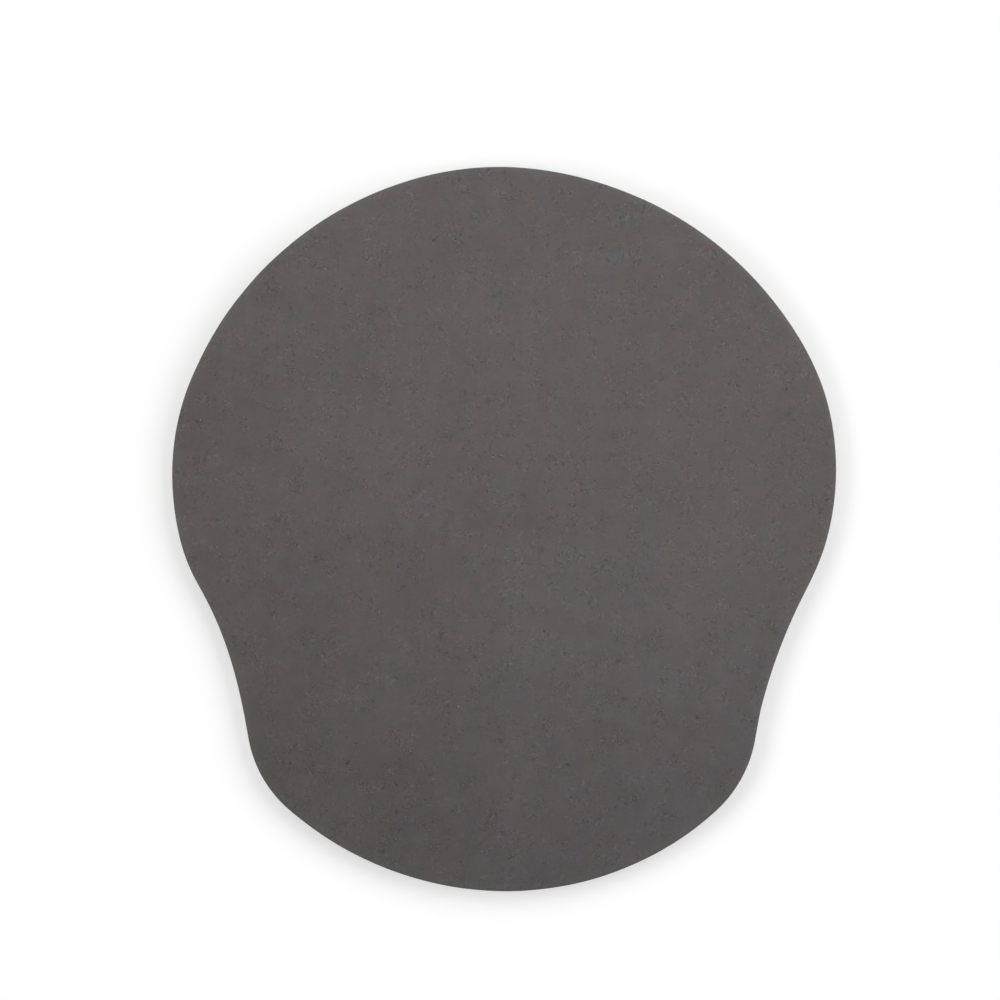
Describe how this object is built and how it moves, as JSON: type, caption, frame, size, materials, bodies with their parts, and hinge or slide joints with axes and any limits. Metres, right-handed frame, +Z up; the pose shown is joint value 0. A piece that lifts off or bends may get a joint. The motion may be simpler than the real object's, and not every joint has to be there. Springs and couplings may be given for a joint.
{
  "type": "mouse pad",
  "caption": "Flat contoured mouse pad, round head and narrower wrist lobe, cut from a laminate of face sheet, foam core and rubber base.",
  "frame": {"origin": "centre of the pad's box, on the underside that rests on the desk", "axes": "+Z up out of the working face, +Y from the wrist lobe towards the round head's far edge, +X to the user's right"},
  "size_m": [0.2292, 0.25, 0.006],
  "materials": {
    "face_foam": "matt, dense fine-celled foam with sparse pinholes, warm dark grey",
    "core_foam": "matt, cut open cells, darker grey",
    "bond_film": "satin, seen only as a hairline at the cut edge",
    "base_rubber": "matt near-black rubber with a shallow moulded grip texture"
  },
  "bodies": {
    "root": {"face_sheet": "face_foam", "face_bond_film": "bond_film", "foam_core": "core_foam", "base_bond_film": "bond_film", "grip_base": "base_rubber"}
  },
  "joints": []
}
